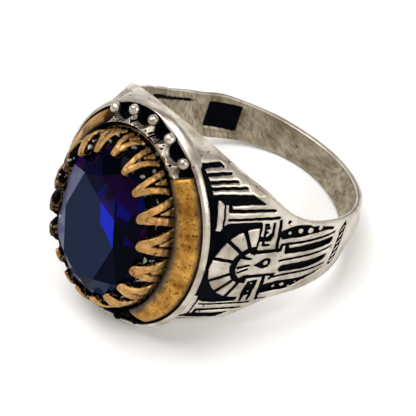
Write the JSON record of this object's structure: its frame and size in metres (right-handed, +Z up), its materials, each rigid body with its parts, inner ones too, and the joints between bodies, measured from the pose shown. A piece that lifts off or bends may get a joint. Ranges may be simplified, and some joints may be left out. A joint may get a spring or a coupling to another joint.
{
  "type": "gemstone ring",
  "caption": "Heavy finger ring with carved tapering shoulders and an oval faceted stone in a toothed crown.",
  "frame": {"origin": "middle of the lying ring's bounding box, on the surface it lies on", "axes": "+Z up, -Y the way the stone faces (20.1 degrees above the surface), +X towards one shoulder"},
  "size_m": [0.0214, 0.0276, 0.0182],
  "materials": {
    "silver": "cast silver, polished edges, black recesses",
    "brass": "brushed, darkened towards the crown",
    "stone": "faceted and polished"
  },
  "bodies": {
    "root": {"band": "silver", "gallery_upper": "silver", "gallery_lower": "silver", "saddle_near": "brass", "saddle_far": "brass", "crown": "brass", "stone": "stone"}
  },
  "joints": []
}
